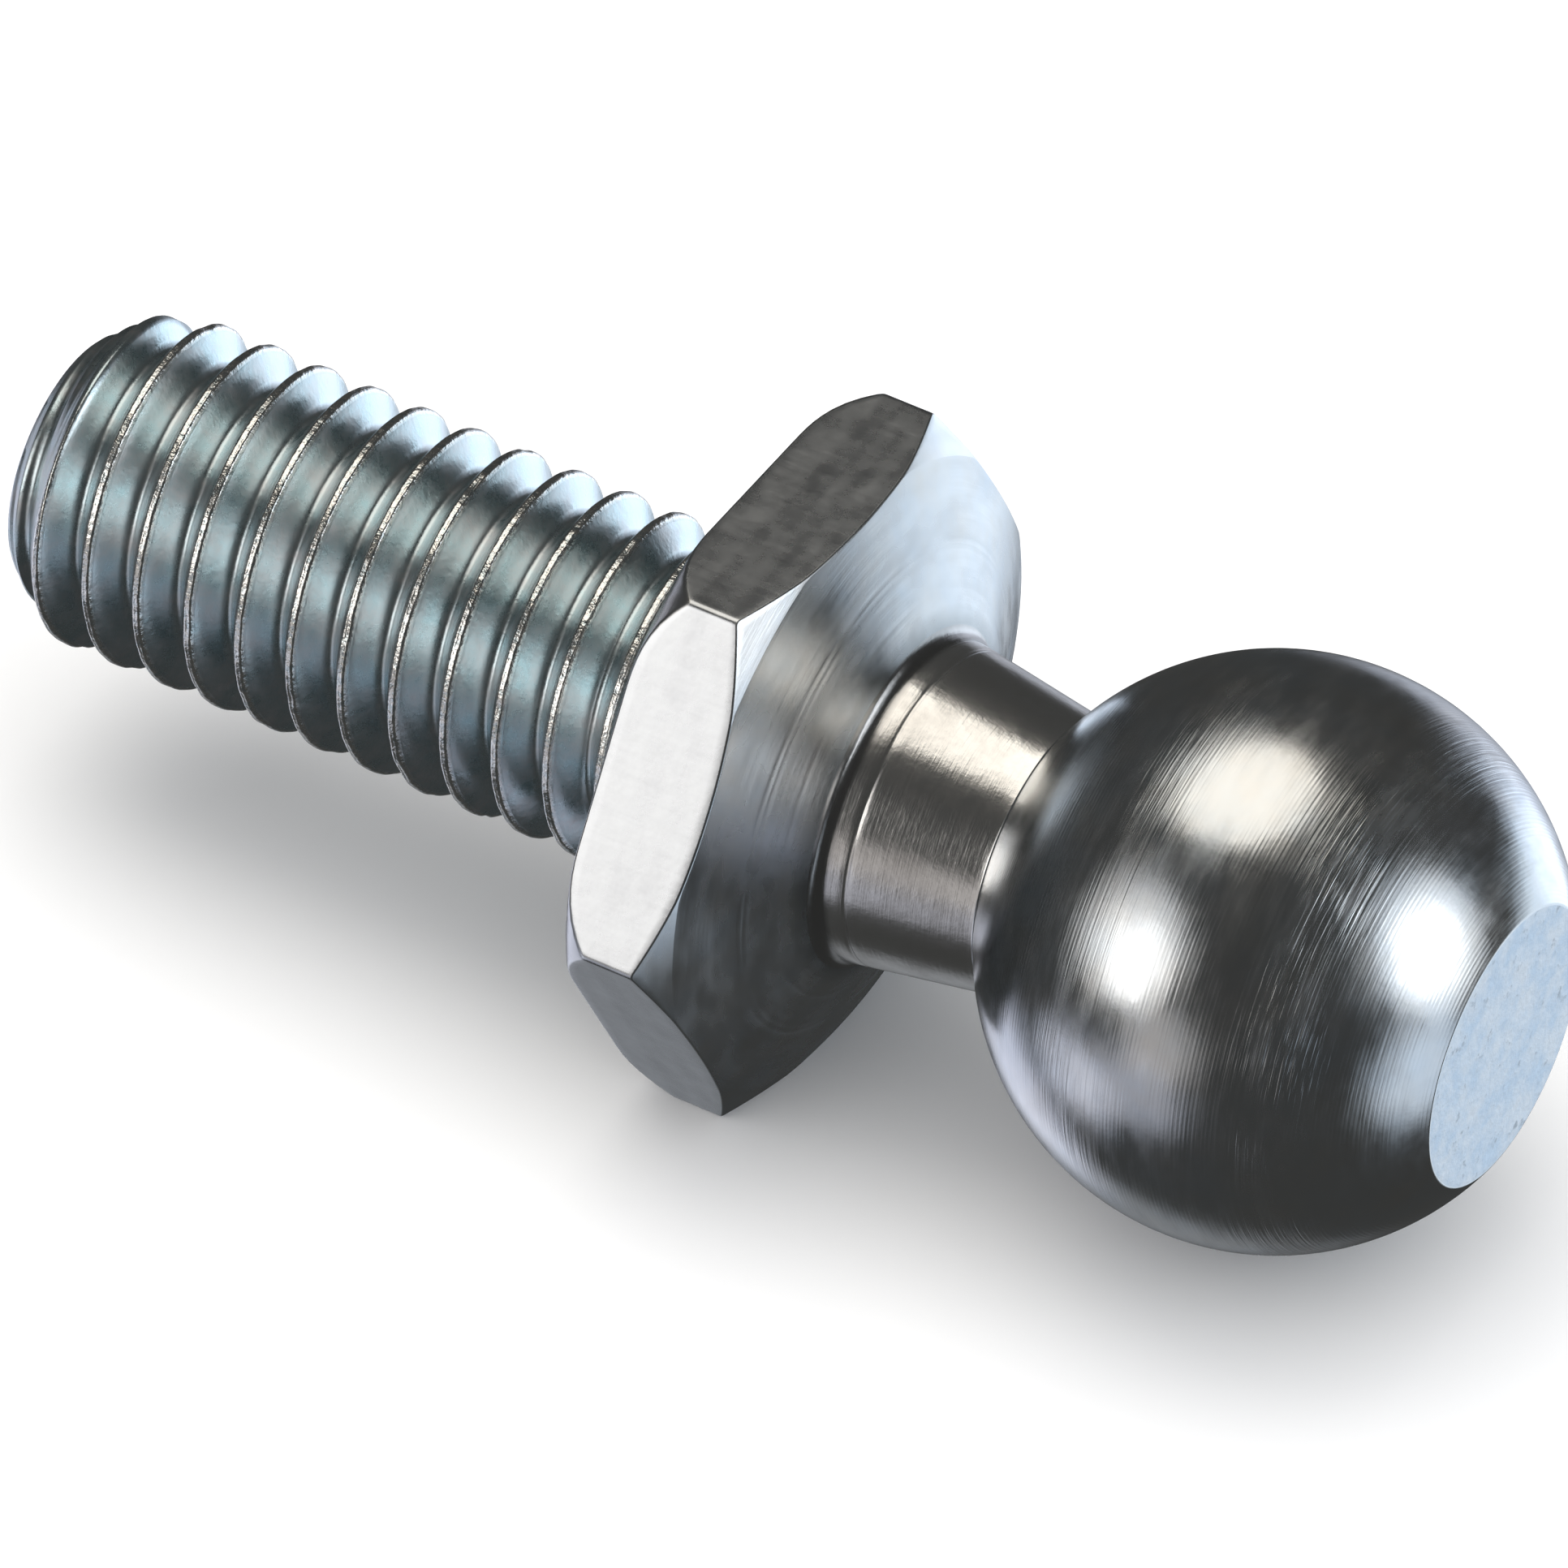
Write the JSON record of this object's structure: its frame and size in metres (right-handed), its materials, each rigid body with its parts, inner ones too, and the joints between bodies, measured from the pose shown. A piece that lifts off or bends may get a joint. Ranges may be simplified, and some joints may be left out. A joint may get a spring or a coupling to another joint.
{
  "type": "ball stud",
  "caption": "Ball stud: ball with a flat end on a tapered neck, hexagonal collar and coarse-threaded shank, in one piece of zinc-plated steel.",
  "frame": {"origin": "on the stud's axis, half way between the end of the shank and the flat end of the ball; this is also the centre of the part's box", "axes": "+X along the stud's axis towards the ball, +Y across two corners of the collar, +Z square to the collar's flats, so the stud lies on a flat of the collar that faces -Z"},
  "size_m": [0.0276, 0.0126, 0.011],
  "materials": {
    "zinc_plated_steel": "bright zinc plate with a pale blue passivation, over turned, rolled and drawn surfaces"
  },
  "bodies": {
    "root": {"ball_stud": "zinc_plated_steel"}
  },
  "joints": []
}
